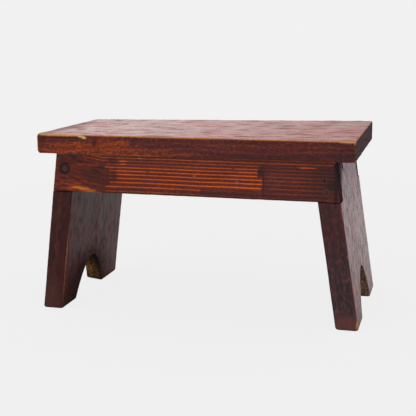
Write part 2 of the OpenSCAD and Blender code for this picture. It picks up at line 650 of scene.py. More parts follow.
@dataclass(frozen=True)
class BoardFinish:
    """One face's stain, grain, polish and wear, as a material in the board's own grain.

    The names in capitals are the textures that all the boards share. A span is where a soft
    step starts and ends, and a swing is how much a texture darkens and lightens the wood.
    """

    FIBRE = Cloud((60, 700, 700))
    MOTTLE = Cloud((14, 34, 34))
    RAGGED = Cloud(260)
    YEARS = Cloud(1, 0, 0.5)
    DASH_SCALE = (130, 310)
    SWAY_SCALE = (9, 16, 16)
    RIPPLE_SCALE = (45, 80, 80)
    DASH_SPAN = (0.47, 0.66)
    FLECK_SPAN = (0.5, 0.68)
    DULL_SPAN = (0.44, 0.68)
    WORN_SPAN = mm(-0.3, 0.6)
    BARE_SPAN = mm(0.4, 2.2)
    RING_END = 0.9
    RING_RISE = (-0.1, 0.06)
    RING_FALL = (0.88, 1.0)
    RING_DRIFT = 0.7
    RUB_SWING = (0.6, 0.7)
    RAGGED_SWING = (1.0, 0.5)
    FIBRE_SWING = 0.7
    MOTTLE_SWING = 1.2
    DASH_SWING = 1.3
    BARE_SWING = 1.0
    DULL_SHADE = -0.15
    WORN_ROUGH = 0.25
    RELIEF = 0.06
    DASH_RELIEF = 0.08

    name: str
    board: BoardFrame
    figure: Figure
    stain: Stain
    polish: Polish = Polish()
    rubbed: tuple[Patch, ...] = ()
    wear: tuple[Patch, ...] = ()
    marks: tuple[Mark, ...] = ()
    flecks: tuple[Fleck, ...] = ()
    rubbed_all: float = 0.12
    wear_width: float = 0.5
    contrast: float = 1.0
    twist: float = 0.0
    foot: bool = False

    def material(self) -> Material:
        """Builds the material.

        Returns:
            The material, patterned in the stool's own coordinates.
        """
        r = Recipe.named(self.name)
        place = r.place()
        straight = self._local(r, self._untwisted(r, place))
        local = self._grain(r, place)
        fibre = r.noise(local, self.FIBRE)
        slim, wide = (scale / self.figure.dash for scale in self.DASH_SCALE)
        dash = r.noise(local, Cloud((slim / self.figure.stretch, wide, wide), 2, 0.55))
        mottle = r.noise(local, self.MOTTLE)
        ragged = r.noise(place, self.RAGGED)

        ring = self._ring(r, local)
        dashes = r.math("MULTIPLY", r.step(dash, *self.DASH_SPAN), self.figure.dashes)
        figure = r.math("MULTIPLY_ADD", dashes, 1 - self.figure.clean, ring, clamp=True)
        faint = r.math("MULTIPLY_ADD", ring, self.figure.faint, dashes, clamp=True)
        rub = self._rub(r, place, mottle, ragged)
        arris = self._arris(r, place, straight)
        wear, wear_deep = self._worn(r, place, arris, ragged, mottle)

        whole = r.mix(faint, self.stain.deep, self.stain.ring)
        thin = r.mix(figure, self.stain.rubbed, self.stain.bright)
        wood = r.mix(rub, whole, thin)
        shade = self._swing(r, fibre, self.FIBRE_SWING)
        shade = r.math("MULTIPLY", shade, self._swing(r, mottle, self.MOTTLE_SWING))
        shade = r.math("MULTIPLY", shade, self._swing(r, dash, self.DASH_SWING))
        wood = r.scaled(wood, shade)
        bare = r.mix(wear_deep, self.stain.worn, self.stain.bare)
        for fleck in self.flecks:
            wood = r.mix(self._streaks(r, place, fleck, ragged), wood, fleck.shade)
        wood = r.mix(wear, wood, r.scaled(bare, self._swing(r, dash, self.BARE_SWING)))
        uneven = self.polish.uneven
        rough = r.math("MULTIPLY_ADD", mottle, 2 * uneven, self.polish.rough - uneven)
        if self.polish.dull:
            long, wide = per_mm(*self.polish.streak)
            streak = r.step(r.noise(local, Cloud((long, wide, wide), 3, 0.65)), *self.DULL_SPAN)
            wood = r.scaled(wood, r.math("MULTIPLY_ADD", streak, self.DULL_SHADE, 1.0))
            rough = r.math("MULTIPLY_ADD", streak, self.polish.dull, rough)
        for mark in self.marks:
            spot = self._spot(r, place, mark, ragged)
            wood = r.mix(spot, wood, mark.shade)
            if mark.matt:
                rough = r.math("MULTIPLY_ADD", spot, mark.matt, rough)
        rough = r.math("MULTIPLY_ADD", wear, self.WORN_ROUGH, rough, clamp=True)
        normal = self._bump(r, straight, ring, fibre, dash)
        return r.surface(wood, rough, normal, IOR=self.polish.index)

    def _swing(self, r: Recipe, noise: Value, amount: float) -> Value:
        """Turns noise into a factor about 1."""
        amount *= self.contrast
        return r.math("MULTIPLY_ADD", noise, amount, 1 - amount / 2)

    def _untwisted(self, r: Recipe, place: Value) -> Value:
        """Gives places as they were before the board went out of flat."""
        if not self.twist:
            return place
        stool = r.parts(place)
        drop = r.math("MULTIPLY", r.math("MULTIPLY", stool[0], stool[1]), -self.twist)
        return r.vector("ADD", place, r.node("CombineXYZ", {2: drop}).outputs[0])

    def _streaks(self, r: Recipe, place: Value, fleck: Fleck, ragged: Value) -> Value:
        """Gives the share of the streaks at each place."""
        turn = {"Vector": place, "Rotation": (0, -math.radians(fleck.turn), 0)}
        turned = r.node("Mapping", turn).outputs[0]
        length, width = per_mm(*fleck.size)
        streak = r.step(r.noise(turned, Cloud((length, width, width), 2)), *self.FLECK_SPAN)
        return r.math("MULTIPLY", streak, self._spot(r, place, fleck.patch, ragged))

    def _local(self, r: Recipe, place: Value) -> Value:
        """Gives places in the board's own directions, from its middle."""
        turn = self.board.matrix()
        feeds = {"Vector": place, "Location": -(turn @ self.board.middle), "Rotation": turn.to_euler()}
        return r.node("Mapping", feeds).outputs[0]

    def _grain(self, r: Recipe, place: Value) -> Value:
        """Bends the board's own places so that the grain sways and flows round its knots."""
        flowing = place
        for knot in self.figure.knots:
            off = r.vector("SUBTRACT", place, mm(*knot.middle))
            far = r.vector("LENGTH", r.vector("MULTIPLY", off, per_mm(*knot.reach)))
            pull = r.step(far, 0, 1, (-knot.push, 0))
            flowing = r.vector("MULTIPLY_ADD", off, pull, flowing)
        local = self._local(r, flowing)
        start, slope = self.figure.bend
        along = r.parts(local)[0]
        past = r.math("MINIMUM", r.math("SUBTRACT", along, start * MM), 0)
        drop = r.math("MULTIPLY_ADD", past, slope, r.math("MULTIPLY", along, self.figure.skew))
        local = r.vector("ADD", local, r.node("CombineXYZ", {1: drop}).outputs[0])
        waves = {"Vector": r.vector("MULTIPLY", local, self.SWAY_SCALE), "Scale": 1, "Detail": 1}
        drift = r.node("TexNoise", waves)
        centred = r.vector("SUBTRACT", drift.outputs[1], (0.5, 0.5, 0.5))
        sway = self.figure.sway * MM
        return r.vector("MULTIPLY_ADD", centred, (0, sway, sway), local)

    def _ring(self, r: Recipe, local: Value) -> Value:
        """Draws the growth rings: a bright line for each year, stronger in some years."""
        figure = self.figure
        heart = (0, -figure.heart[0] * MM, -figure.heart[1] * MM)
        radius = r.vector("LENGTH", r.vector("MULTIPLY_ADD", local, (0, 1, 1), heart))
        count = r.math("MULTIPLY_ADD", radius, 1 / (figure.pitch * MM), figure.turn)
        year = r.math("FRACT", count)
        rise = r.step(year, *(self.RING_END - figure.line + part for part in self.RING_RISE))
        fall = r.step(year, *self.RING_FALL, (1, 0))
        slow = r.node("CombineXYZ", {0: r.math("MULTIPLY", count, self.RING_DRIFT)}).outputs[0]
        strong = r.noise(slow, self.YEARS)
        show = r.math("MULTIPLY_ADD", strong, figure.show, figure.show / 2)
        return r.math("MULTIPLY", r.math("MULTIPLY", rise, fall), show, clamp=True)

    def _spot(self, r: Recipe, place: Value, patch: Patch | Mark, ragged: Value) -> Value:
        """Gives a patch's share at each place."""
        if patch.square:
            off = r.vector("ABSOLUTE", r.vector("SUBTRACT", place, mm(*patch.middle)))
            parts = r.parts(r.vector("SUBTRACT", off, mm(*patch.reach)))
            far = r.math("MAXIMUM", r.math("MAXIMUM", parts[0], parts[1]), parts[2])
            edge, soft, torn = 0, patch.soft * MM, patch.torn * MM
        else:
            scale = per_mm(*patch.reach)
            shift = tuple(-middle * MM * size for middle, size in zip(patch.middle, scale))
            far = r.vector("LENGTH", r.vector("MULTIPLY_ADD", place, scale, shift))
            edge, soft, torn = 1, patch.soft, patch.torn
        far = r.math("MULTIPLY_ADD", ragged, torn * 2, r.math("SUBTRACT", far, torn))
        return r.step(far, edge - soft, edge + soft, (patch.strength, 0))

    def _rub(self, r: Recipe, place: Value, mottle: Value, ragged: Value) -> Value:
        """Finds where the stain is rubbed thin, so that the rings show bright."""
        rub = r.math("MULTIPLY", mottle, self.rubbed_all * 2)
        for patch in self.rubbed:
            rub = r.math("MAXIMUM", rub, self._spot(r, place, patch, ragged))
        return r.math("MULTIPLY", rub, r.math("MULTIPLY_ADD", mottle, *self.RUB_SWING), clamp=True)

    def _arris(self, r: Recipe, place: Value, local: Value) -> Value:
        """Measures how far each place is from the nearest arris."""
        parts = r.parts(local)
        stool = r.parts(place)
        length, width, depth = self.board.half
        reach = r.math("MULTIPLY_ADD", parts[1], -self.board.splay, length)
        to_end = r.math("SUBTRACT", reach, r.math("ABSOLUTE", parts[0]))
        if self.foot:
            to_end = stool[2]
        to_side = r.math("SUBTRACT", width, r.math("ABSOLUTE", parts[1]))
        to_face = r.math("SUBTRACT", depth, r.math("ABSOLUTE", parts[2]))
        least = r.math("MINIMUM", to_end, to_side)
        most = r.math("MAXIMUM", to_end, to_side)
        return r.math("MAXIMUM", least, r.math("MINIMUM", most, to_face))

    def _worn(self, r: Recipe, place: Value, arris: Value, ragged: Value, mottle: Value) -> tuple:
        """Finds the worn arrises, and how deep the wear is."""
        amount = r.math("MULTIPLY", mottle, 2 * self.wear_width * MM)
        for patch in self.wear:
            width = replace(patch, strength=patch.strength * MM)
            amount = r.math("MAXIMUM", amount, self._spot(r, place, width, ragged))
        amount = r.math("MULTIPLY", amount, r.math("MULTIPLY_ADD", ragged, *self.RAGGED_SWING))
        over = r.math("SUBTRACT", amount, arris)
        return r.step(over, *self.WORN_SPAN), r.step(over, *self.BARE_SPAN)

    def _bump(self, r: Recipe, local: Value, ring: Value, fibre: Value, dash: Value) -> Value:
        """Raises the rings and fibres, and makes the polish ripple."""
        scale = tuple(part / self.polish.ripple_size for part in self.RIPPLE_SCALE)
        height = r.math("MULTIPLY", r.noise(local, Cloud(scale, 3, 0.55)), self.polish.ripple)
        height = r.math("MULTIPLY_ADD", ring, self.RELIEF, height)
        height = r.math("MULTIPLY_ADD", fibre, self.RELIEF, height)
        height = r.math("MULTIPLY_ADD", dash, self.DASH_RELIEF, height)
        return r.bump(height, 1.0, 0.5)


@dataclass(frozen=True)
class PlugFinish:
    """The plug's end grain, dark and dull, with fine rings."""

    name: str = "plug_end_grain"
    dark: Shade = (36, 26, 22)
    core: Shade = (68, 40, 31)
    middle: Point = mm(-190.08, -105.9, 215.46)
    heart: Point = mm(12, 0, 4)
    grain: Cloud = Cloud((420, 90, 420), 4, 0.7)
    rings: float = 560
    uneven: float = 6 * MM
    core_span: Pair = mm(5, 9.5)
    ring_span: Pair = (0.5, 0.95)
    ring_shade: Pair = (1.1, 0.75)
    swing: Pair = (1.8, 0.15)
    rough: Pair = (0.2, 0.45)
    index: float = 1.34

    def material(self) -> Material:
        """Builds the material.

        Returns:
            The material.
        """
        r = Recipe.named(self.name)
        off = r.vector("SUBTRACT", r.place(), self.middle)
        far = r.vector("LENGTH", r.vector("MULTIPLY", off, (1, 0, 1)))
        grain = r.noise(off, self.grain)
        heart = r.vector("LENGTH", r.vector("MULTIPLY_ADD", off, (1, 0, 1), self.heart))
        year = r.math("FRACT", r.math("MULTIPLY", heart, self.rings))
        inner = r.step(r.math("MULTIPLY_ADD", grain, self.uneven, far), *self.core_span, (1, 0))
        wood = r.mix(inner, self.dark, self.core)
        wood = r.scaled(wood, r.math("MULTIPLY_ADD", grain, *self.swing))
        wood = r.scaled(wood, r.step(year, *self.ring_span, self.ring_shade))
        rough = r.math("MULTIPLY_ADD", grain, *self.rough)
        height = r.math("MULTIPLY_ADD", year, 0.2, grain)
        return r.surface(wood, rough, r.bump(height, 0.6, 0.2), IOR=self.index)


@dataclass(frozen=True)
class SteelFinish:
    """Old nails: dark oxide over steel, with a little rust."""

    name: str = "old_nail_steel"
    oxide: Shade = (34, 29, 28)
    rust: Shade = (92, 50, 30)
    bright: Shade = (120, 112, 108)
    coarse: Cloud = Cloud(420)
    fine: Cloud = Cloud(1900, 3, 0.65)
    rust_span: Pair = (0.45, 0.62)
    bright_span: Pair = (0.62, 0.74)
    rough: Pair = (0.4, 0.35)
    metal_span: Pair = (0.4, 0.65)
    metal: Pair = (0.85, 0.2)

    def material(self) -> Material:
        """Builds the material.

        Returns:
            The material.
        """
        r = Recipe.named(self.name)
        place = r.place()
        coarse = r.noise(place, self.coarse)
        fine = r.noise(place, self.fine)
        steel = r.mix(r.step(coarse, *self.rust_span), self.oxide, self.rust)
        steel = r.mix(r.step(fine, *self.bright_span), steel, self.bright)
        rough = r.math("MULTIPLY_ADD", coarse, *self.rough)
        metal = r.step(coarse, *self.metal_span, self.metal)
        height = r.math("MULTIPLY_ADD", fine, 0.5, coarse)
        return r.surface(steel, rough, r.bump(height, 0.7, 0.15), Metallic=metal)


@dataclass(kw_only=True)
class Board:
    """What the five boards have in common.

    Nibble is the wear of their arrises and wave that of their faces. Bite is how far from an
    arris its wear reaches, and shy how much shorter the board is than its place. Strips are how
    many cuts there are along and across, and spare is how far a cutter goes past what it cuts.
    Foot says whether the board stands on the floor.
    """

    plan: Plan = Plan()
    nibble: Press
    wave: Press
    strips: tuple[int, int]
    bite: float = 3.5 * MM
    shy: float = 0.0
    spare: float = 5 * MM
    foot: bool = False

    def board(self) -> BoardFrame:
        """The board's own directions."""
        raise NotImplementedError

    def build(self) -> Workpiece:
        """Shapes the board."""
        raise NotImplementedError

    def coats(self) -> list[Coat]:
        """The board's finishes."""
        raise NotImplementedError

    def make(self, slot: str, node: str) -> None:
        """Builds the board, dresses it, and puts it in its solid's place."""
        self.build().finish(self.coats(), slot, node)

    def arris_share(self, place: Vector) -> float:
        """How much the wear bites at a place: all at an arris, and nothing a little way in."""
        own = self.board()
        local = own.matrix() @ (place - own.middle)
        to_end = own.half[0] + self.shy - own.splay * local.y - abs(local.x)
        to_end = place.z if self.foot else to_end
        inside = sorted((to_end, own.half[1] - abs(local.y), own.half[2] - abs(local.z)))
        return max(0.0, 1 - max(inside[1], 0) / self.bite)

    def age(self, piece: Workpiece) -> None:
        """Takes a piece out of flat, wears its arrises and makes its faces wavy."""
        above = self.plan.above
        piece.twist(self.plan.lift)
        piece.press(self.nibble, lambda place: self.arris_share(place) * above(place))
        piece.press(self.wave, above)


@dataclass(kw_only=True)
class Seat(Board):
    """The top board, a little in wind, with its chips and worn arrises."""

    nibble: Press = Press(1.1 * MM, 9 * MM, 0.25)
    wave: Press = Press(0.5 * MM, 50 * MM, 0.4)
    ease: float = 2.0 * MM
    corner: float = 4.0 * MM
    strips: tuple[int, int] = (121, 13)
    margins: Pair = mm(4, 10)
    line: float = 5 * MM
    chips: tuple[Chip, ...] = (
        Chip((-161.5, -110.8, 266.0), (8.5, 2.6, 1.2), (0, 0.25, 0)),
        Chip((230.6, -110.4, 261), (2.6, 2.6, 6), (0, 0.2, 0)),
        Chip((-196.0, 110.6, 263.6), (9.0, 1.8, 1.5)),
        Chip((229.9, 107.2, 266.0), (2.2, 3.2, 1.6)),
    )

    def board(self) -> BoardFrame:
        """The board's own directions."""
        plan = self.plan
        middle = Vector((0, 0, (plan.under + plan.seat_top) / 2))
        half = (plan.seat_half, plan.seat_half_width, (plan.seat_top - plan.under) / 2)
        return BoardFrame(middle, Vector((1, 0, 0)), Vector((0, 1, 0)), Vector((0, 0, 1)), half)

    def build(self) -> Workpiece:
        """Shapes the seat.

        Returns:
            The seat.
        """
        plan = self.plan
        half, width = plan.seat_half, plan.seat_half_width
        seat = Workpiece.block("seat", (-half, -width, plan.under), (half, width, plan.seat_top))
        seat.clip(self.corner)
        low = plan.under + MM
        seat.ease(
            self.ease / 2, FACETS,
            lambda edge: upright(edge) and beyond(edge, 0, 1, 0) and beyond(edge, 1, -1, 0),
        )
        seat.ease(self.ease, FINE_FACETS, lambda edge: not beyond(edge, 2, -1, -low))
        seat.ease(self.ease / 2, FACETS, lambda edge: beyond(edge, 2, -1, -low))
        seat.chip(*self.chips)
        near, back = (width - margin for margin in self.margins)
        rows, columns = self.strips
        seat.rule((1, 0, 0), spread(-half, half, rows))
        seat.rule((0, 1, 0), [-near, -back, *spread(-back, back, columns), back, near])
        seat.rule((0, 0, 1), [plan.under + self.line, plan.seat_top - self.line])
        self.age(seat)
        return seat

    def rubbed(self) -> tuple[Patch, ...]:
        """Where the front edge's stain is rubbed thin."""
        return (
            Patch((-150, -110, 246), (74, 8, 11), 0.8, 0.4, 0.35),
            Patch((-160, -110, 245), (34, 8, 10), 1.0, 0.5, 0.3),
            Patch((-112, -110, 250), (26, 8, 9), 0.9, 0.5, 0.35),
            Patch((-130, -110, 237), (110, 8, 5), 1.0, 0.4, 0.35),
            Patch((-50, -110, 240), (60, 8, 8), 0.5, 0.6, 0.35),
            Patch((60, -110, 252), (50, 8, 7), 0.2),
        )

    def worn(self) -> tuple[Patch, ...]:
        """Where the arrises are worn to bare wood."""
        return (
            Patch((-192, -110, 265.5), (40, 9, 6), 3.4),
            Patch((140, -110, 263.5), (110, 9, 6), 1.9),
            Patch((-60, -110, 264.5), (140, 9, 6), 2.1),
            Patch((222, -110, 263), (17, 9, 7), 3.0),
            Patch((229, -109, 254), (7, 7, 8), 1.2),
            Patch((230, -60, 264.5), (7, 50, 5), 1.7),
            Patch((-110, -110, 235.5), (90, 8, 3), 1.7),
            Patch((228, -108, 236), (7, 5, 3), 2.0),
            Patch((230, 108, 264.5), (7, 6, 5), 2.4),
            Patch((-230, -110, 250), (5, 5, 20), 2.0),
        )

    def marks(self) -> tuple[Mark, ...]:
        """The chips' bare wood, the dents and the dirt."""
        return (
            Mark((-165.5, -110.5, 264.6), (5.5, 5, 1.3), (214, 172, 116), 0.9, 0.3, 0.1),
            Mark((-159.5, -110.5, 262.6), (5.5, 5, 1.4), (222, 184, 124), 0.95, 0.3, 0.1),
            Mark((-191, -111, 260.9), (34, 5, 1.6), (50, 22, 17), 0.75, 0.4, 0.25),
            Mark((-139.5, -111, 254), (3.6, 6, 7), (52, 22, 19), 0.6, 0.5, 0.4),
            Mark((-136, -111, 242), (4, 6, 2.5), (52, 22, 19), 0.5, 0.5, 0.4),
            Mark((-221, -111, 256), (6, 6, 6), (62, 30, 24), 0.5, 0.5, 0.4),
            Mark((-155.5, -110.5, 260.9), (3.6, 5, 1.4), (216, 176, 118), 0.9, 0.3, 0.1),
            Mark((135, -111, 238), (110, 6, 6), (52, 34, 36), 0.5, 0.6),
            Mark((217, -111, 244), (22, 6, 14), (50, 34, 36), 0.4, 0.6, 0.4),
            Mark((219.5, -111, 243.5), (2.2, 6, 1.6), (22, 46, 54), 0.5, 0.4, 0.1),
            Mark((-188, -45, 264.5), (7, 10, 3), (80, 40, 32), 0.7, matt=0.3),
            Mark((-148, 36, 264.5), (5, 8, 4), (72, 34, 28), 0.7, matt=0.3),
            Mark((9, -53, 264.5), (8, 6, 3), (116, 44, 28), 0.7, matt=0.2),
            Mark((-49, -61, 264.5), (8, 6, 3), (110, 44, 28), 0.7, matt=0.2),
            Mark((67, -87, 264.5), (8, 6, 3), (110, 44, 28), 0.7, matt=0.2),
            Mark((-196, 109, 264.5), (12, 4, 3), (58, 28, 26), 0.8),
        )

    def coats(self) -> list[Coat]:
        """The stain on the edges, the polished top, the end grain and the bare underside.

        Returns:
            The seat's finishes.
        """
        marks = self.marks()
        knots = (
            Knot((-140, -110, 262), (26, 30, 20), 0.6),
            Knot((-118, -110, 240), (20, 30, 12), 0.5),
        )
        flecks = (
            Fleck(Patch((140, -110, 250), (60, 8, 16), 0.6, 0.4, 0.4), 55, (7, 1.6), (112, 38, 32)),
            Fleck(Patch((-112, -110, 249), (34, 8, 11), 0.6, 0.4, 0.4), -35, (5, 1.5), (176, 72, 24)),
        )
        figure = Figure((15, -70), 4.2, 0.2, 0.3, 0.4, 9.0, 0.8, 0.55, knots)
        edge = BoardFinish(
            "seat_edge_stain", self.board(), figure,
            Stain((72, 36, 37), (114, 48, 41), (108, 43, 28), (176, 74, 29)),
            Polish(), self.rubbed(), self.worn(), marks, flecks, rubbed_all=0.08,
            wear_width=0.7, contrast=0.4, twist=self.plan.twist,
        )
        plain = replace(edge, rubbed=(), flecks=())
        left = Mark((-226, -20, 264.5), (18, 90, 4), (92, 42, 36), 0.6, 0.7, 0.4, matt=0.3)
        top = replace(
            plain, name="seat_top_polish", rubbed_all=0.3, contrast=0.75, marks=(*marks, left),
            stain=Stain((145, 52, 38), (173, 66, 44), (166, 60, 40), (190, 85, 55)),
            figure=replace(figure, dash=3.7, stretch=3.0, dashes=0.5, pitch=6.5, show=0.6),
            polish=Polish(0.2, 1.46, 3.2, 2.6, uneven=0.08, dull=0.26, streak=(32.0, 12.0)),
        )
        ends = replace(
            plain, name="seat_end_grain", rubbed_all=0.0, wear_width=0.3, contrast=1.3,
            wear=(Patch((230, 20, 264.5), (6, 80, 5), 1.3), Patch((229, -109, 262), (6, 6, 6), 1.6)),
            stain=Stain(
                (61, 40, 43), (82, 53, 55), (80, 52, 54), (98, 64, 60),
                (118, 66, 46), (150, 98, 66),
            ),
            figure=replace(figure, show=0.9, dashes=0.6),
            polish=Polish(0.65, 1.14, ripple=2.0, dull=0.3, streak=(8.0, 3.0)),
        )
        under = replace(
            plain, name="seat_underside", rubbed_all=0.2, marks=(), wear=(), wear_width=0.2,
            stain=Stain((104, 68, 46), (132, 88, 58), (120, 76, 50), (150, 98, 62)),
            figure=replace(figure, show=0.9, dashes=0.3, sway=14.0),
            polish=Polish(0.8, 1.15, 0.6),
        )
        past = self.plan.seat_half - self.corner
        return [
            Coat(edge.material()),
            Coat(top.material(), lambda face: face.normal.z > HALFWAY),
            Coat(ends.material(), lambda face: past_end(face, past) and abs(face.normal.x) > END_ON),
            Coat(under.material(), lambda face: face.normal.z < -LEVEL),
        ]


@dataclass(frozen=True)
class EndLook:
    """What tells the two end boards' wood apart."""

    figure: Figure
    stain: Stain
    wear: tuple[Patch, ...]
    marks: tuple[Mark, ...]


LEFT_LOOK = EndLook(
    Figure((30, 60), 5.0, 0.1, 0.4, 0.3, 3.0, 0.3, 1.6),
    Stain((52, 24, 23), (76, 34, 32), (78, 36, 31), (108, 54, 42), (140, 98, 70), (160, 118, 86)),
    wear=(
        Patch((-196, -106.5, 66), (20, 8, 80), 2.1),
        Patch((-189, -106.5, 140), (12, 8, 34), 1.8),
        Patch((-236, -106.5, 4), (8, 6, 12), 1.3),
    ),
    marks=(
        Mark((-222, -106.5, 14), (20, 5, 30), (84, 52, 46), 0.6, 0.7, 0.4),
        Mark((-200, -96, 30), (16, 16, 60), (84, 26, 20), 0.35, 0.6),
        # Painted shade: the inner face darkens toward the floor, where its gloss reflects less light;
        # the mark also makes it rougher.
        Mark((-200, -30, 8), (14, 78, 60), (44, 24, 22), 0.85, 0.5, 0.2, matt=0.5),
    ),
)

RIGHT_LOOK = EndLook(
    Figure((-20, -60), 5.0, 0.4, 0.4, 0.35, 4.0, 0.75, 1.1),
    Stain((49, 42, 48), (88, 52, 52), (83, 53, 51), (112, 62, 55), (150, 96, 72), (206, 150, 90)),
    wear=(
        Patch((218, -106.5, 80), (26, 8, 110), 0.9),
        Patch((211, -106.5, 168), (8, 6, 18), 1.7),
        Patch((216, -106.5, 105), (6, 6, 5), 2.2),
        Patch((236, -106.5, 6), (6, 8, 9), 2.4),
        Patch((186, -106.5, 100), (30, 8, 90), 0.7),
    ),
    marks=(
        Mark((221, -106.5, 4), (26, 6, 17), (110, 64, 60), 0.68, 0.5, 0.5),
        Mark((198, -106.5, 150), (30, 4, 48), (80, 28, 22), 0.4, 0.8, 0.5),
        Mark((236.4, -107, 9), (2.4, 4, 10), (190, 130, 60), 0.9, 0.4),
        # Painted shade: near black inside the chipped slit under the seat, where its hollow is dark.
        Mark((203, -51, 222), (14, 5.5, 9.5), (16, 10, 13), 0.95, 0.2, 0.15),
    ),
)


@dataclass(kw_only=True)
class EndBoard(Board):
    """A leaning end board, notched for the rails, with an arch cut out of its foot.

    The right board's front corner under the seat darkens in two steps, starting, by height less
    depth, first with the fading and then with the dirt; both steps also hold shade painted in, as
    the seat's overhang would cast it. Notch is how far along the stool the notches' cutter
    reaches, near_arch how far past the arch its saw cut is looked for, and corner how near a side
    an edge counts as outside.
    """

    end: End
    nibble: Press = Press(0.9 * MM, 8 * MM, 0.2)
    wave: Press = Press(0.6 * MM, 55 * MM, 0.4)
    foot: bool = True
    ease: float = 2.2 * MM
    foot_ease: float = 4.0 * MM
    gap: float = 0.5 * MM
    thinned: float = 1.8 * MM
    shade_and_grime_starts: Pair = mm(274, 288)
    shade_and_grime_width: float = 85 * MM
    grimy_inside: float = 0.6
    near_arch: float = 2 * MM
    strips: tuple[int, int] = (56, 18)
    margin: float = 4 * MM
    notch: Pair = (0.1, 0.3)
    inner_ease: float = 0.6
    corner: float = 6 * MM
    chips: tuple[Chip, ...] = (
        Chip((203.5, -51, 222), (9, 4.6, 9), (0.25, 0, 0)),
        Chip((216, -107, 106), (2.4, 1.4, 2.6)),
        Chip((237.2, -106, 4), (2.6, 2.6, 6)),
    )

    @property
    def name(self) -> str:
        """The board's name."""
        return f"{self.end.name.lower()}_end"

    def board(self) -> BoardFrame:
        """The board's own directions: up along the grain, and out."""
        plan, sign = self.plan, self.end.value
        up = Vector((-sign * math.sin(plan.lean), 0, math.cos(plan.lean)))
        out = Vector((sign * math.cos(plan.lean), 0, math.sin(plan.lean)))
        height = plan.under / 2
        middle = Vector((sign * (plan.reach(height) - plan.end_run / 2), 0, height))
        half = (height / math.cos(plan.lean), plan.half_width, plan.end_thickness / 2)
        return BoardFrame(middle, up, out.cross(up), out, half)

    @property
    def arch_middle(self) -> float:
        """How far the arch's middle is behind the board's middle, at the outer face."""
        return 2 * MM if self.end is End.LEFT else 0.0

    @property
    def arch_slant(self) -> float:
        """How far the arch comes forward on its way to the inner face."""
        return 8.5 * MM if self.end is End.LEFT else 0.0

    def arch_cutter(self) -> Workpiece:
        """Makes the piece that cuts the arch: a parabola, run through the board.

        Returns:
            The cutter.
        """
        plan, board = self.plan, self.board()
        foot = Vector((self.end.value * plan.reach(0), self.arch_middle, 0))
        inward = Vector((0, -self.arch_slant, 0)) / plan.end_thickness - board.out
        spare = 2 * self.spare
        below, low, count = 1.3, 0.9, 30
        shares = [below, *(low - 2 * low * i / count for i in range(count + 1)), -below]
        Workpiece.let_go()
        bpy.ops.mesh.primitive_circle_add(vertices=len(shares), radius=1, fill_type="NGON")
        cutter = Workpiece("arch_cutter")
        for vertex, share in zip(cutter.body.data.vertices, shares):
            rise = board.along * (plan.arch_height * (1 - share**2))
            vertex.co = foot + rise + Vector((0, plan.arch_half * share, 0)) - inward * spare
        cutter.choose(Element.FACE)
        bpy.ops.mesh.extrude_region_move(
            TRANSFORM_OT_translate={"value": inward * (plan.end_thickness + 2 * spare)}
        )
        bpy.ops.mesh.select_all(action="SELECT")
        bpy.ops.mesh.normals_make_consistent(inside=False)
        Workpiece.let_go()
        return cutter

    def build(self) -> Workpiece:
        """Shapes the board.

        Returns:
            The board.
        """
        plan, sign = self.plan, self.end.value
        left, right = sorted((sign * plan.end_top, sign * (plan.end_top - plan.end_run)))
        width = plan.half_width
        board = Workpiece.block(self.name, (left, -width, 0), (right, width, plan.under))
        board.slide(lambda vertex: vertex.co.z < MM, (sign * plan.under * plan.slope, 0, 0))
        if self.end is End.LEFT:
            board.slide(
                lambda vertex: vertex.co.z > MM and vertex.co.x > left + MM, (-self.thinned, 0, 0)
            )
        board.cut(self.arch_cutter())
        board.ease(self.foot_ease, FINE_FACETS, lambda edge: beyond(edge, 2, -1, -MM))
        for side in Side:
            edge = side.value * (width + self.spare)
            back = side.value * (width - plan.rail_thickness - self.gap)
            inner, outer = sorted(sign * place for place in self.notch)
            low = (inner, min(edge, back), plan.rail_low - self.gap)
            high = (outer, max(edge, back), plan.under + self.spare)
            board.cut(Workpiece.block("notch", low, high))
        for outside in (True, False):
            board.ease(
                self.ease if outside else self.inner_ease * self.ease, FACETS,
                lambda edge: outside == self.is_outside(edge)
                and not beyond(edge, 2, 1, plan.rail_low - MM),
            )
        own = self.board()
        base = own.middle.dot(own.along)
        near = width - self.margin
        if self.end is End.RIGHT:
            board.chip(*self.chips)
        rows, columns = self.strips
        board.rule(own.along, [base + step for step in spread(-own.half[0], own.half[0], rows)])
        board.rule((0, 1, 0), [-near, *spread(-near, near, columns), near])
        if self.end is End.RIGHT:
            board.rule((0, -1, 1), [place / math.sqrt(2) for place in self.shade_and_grime_starts])
        self.age(board)
        return board

    def is_outside(self, edge: BMEdge) -> bool:
        """Says whether an edge is on the board's sides or outer corners, and not on the arch."""
        edge_y = self.plan.half_width - self.corner
        return all(abs(vertex.co.y) > edge_y for vertex in edge.verts)

    def edge_finish(self) -> BoardFinish:
        """The stained edges, with dirt in the joints.

        Returns:
            The finish.
        """
        look = LEFT_LOOK if self.end is End.LEFT else RIGHT_LOOK
        joint = Mark((0, -106.5, 180.6), (400, 24, 0.7), (28, 16, 16), 0.8, 0.4, 0.1, square=True)
        return BoardFinish(
            f"{self.name}_edge_stain", self.board(), look.figure, look.stain, wear=look.wear,
            marks=(*look.marks, joint), contrast=0.7, foot=True,
        )

